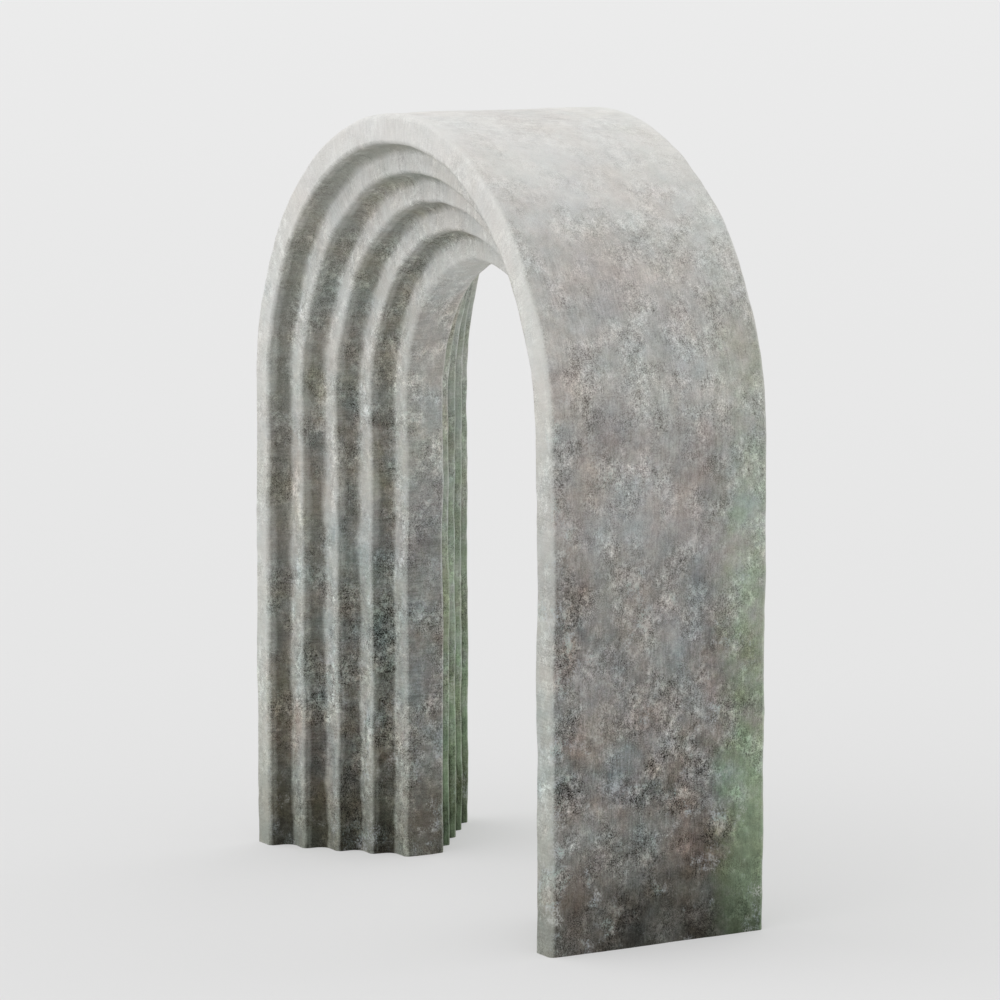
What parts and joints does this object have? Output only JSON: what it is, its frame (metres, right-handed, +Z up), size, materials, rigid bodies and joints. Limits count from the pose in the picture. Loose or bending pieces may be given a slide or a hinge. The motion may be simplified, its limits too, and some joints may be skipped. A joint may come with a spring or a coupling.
{
  "type": "norman arch",
  "caption": "Free-standing round-headed stone doorway arch of five recessed orders, moulded alike on both faces, without capitals or imposts.",
  "frame": {"origin": "middle of the opening and of the depth, on the ground under the arch", "axes": "+X runs across the opening to the right-hand jamb as seen from the front, +Y runs through the opening from front to back, +Z is up to the crown"},
  "size_m": [2.4, 0.946, 3.072],
  "materials": {
    "weathered_stone": "weathered fine-grained stone, pale on top, darker towards the ground, with lichen specks and green moss along the back edge"
  },
  "bodies": {
    "root": {"outer_order_left_jamb": "weathered_stone", "outer_order_left_arch": "weathered_stone", "outer_order_right_jamb": "weathered_stone", "outer_order_right_arch": "weathered_stone", "second_order_left_jamb": "weathered_stone", "second_order_left_arch": "weathered_stone", "second_order_right_jamb": "weathered_stone", "second_order_right_arch": "weathered_stone", "third_order_left_jamb": "weathered_stone", "third_order_left_arch": "weathered_stone", "third_order_right_jamb": "weathered_stone", "third_order_right_arch": "weathered_stone", "fourth_order_left_jamb": "weathered_stone", "fourth_order_left_arch": "weathered_stone", "fourth_order_right_jamb": "weathered_stone", "fourth_order_right_arch": "weathered_stone", "inner_order_left_jamb": "weathered_stone", "inner_order_left_arch": "weathered_stone", "inner_order_right_jamb": "weathered_stone", "inner_order_right_arch": "weathered_stone"}
  },
  "joints": []
}
